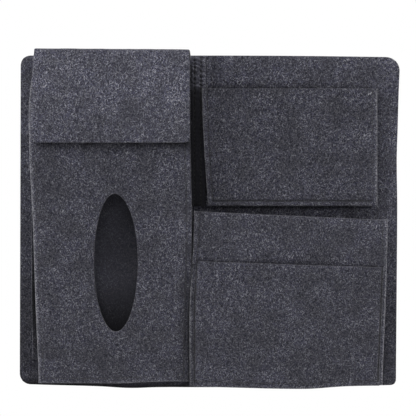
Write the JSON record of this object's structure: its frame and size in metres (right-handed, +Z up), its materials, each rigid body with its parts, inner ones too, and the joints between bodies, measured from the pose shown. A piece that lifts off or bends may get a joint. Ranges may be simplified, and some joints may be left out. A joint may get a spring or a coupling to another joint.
{
  "type": "car seat organizer",
  "caption": "Flat felt organizer for a car seat's back with a slotted tissue pocket under a fold-over flap, a box pocket and a wedge pocket with a slip pocket on its front.",
  "frame": {"origin": "middle of the rear face of the upper hook strip, where the organizer is held on the seat's back", "axes": "+X to the right as seen from the front, +Y towards the seat, +Z up"},
  "size_m": [0.345, 0.0634, 0.302],
  "materials": {
    "felt": "pressed wool-look felt, dark heathered grey, matt",
    "hook_tape": "black woven tape covered with nylon hooks",
    "loop_tape": "black woven tape with a napped loop pile"
  },
  "bodies": {
    "organizer": {"back_panel": "felt", "upper_hook_strip": "hook_tape", "lower_hook_strip": "hook_tape", "tissue_pocket_front": "felt", "tissue_pocket_left_gusset": "felt", "tissue_pocket_right_gusset": "felt", "flap_seam_strip": "felt", "flap_loop_tape": "loop_tape", "upper_pocket_front": "felt", "upper_pocket_left_gusset": "felt", "upper_pocket_right_gusset": "felt", "upper_pocket_bottom_gusset": "felt", "lower_pocket_front": "felt", "lower_pocket_left_gusset": "felt", "lower_pocket_right_gusset": "felt", "slip_pocket_front": "felt"},
    "flap_top": {"flap_top_panel": "felt"},
    "flap_front": {"flap_front_panel": "felt", "flap_hook_tape": "hook_tape"}
  },
  "joints": [
    {"name": "flap_lift", "type": "hinge", "parent": "organizer", "child": "flap_top", "pos_m": [-0.0846, -0.0048, 0.0243], "axis": [-1, 0, 0], "range_deg": [0, 90]},
    {"name": "flap_fold", "type": "hinge", "parent": "flap_top", "child": "flap_front", "pos_m": [-0.0846, -0.0634, 0.0243], "axis": [-1, 0, 0], "range_deg": [0, 90]}
  ]
}
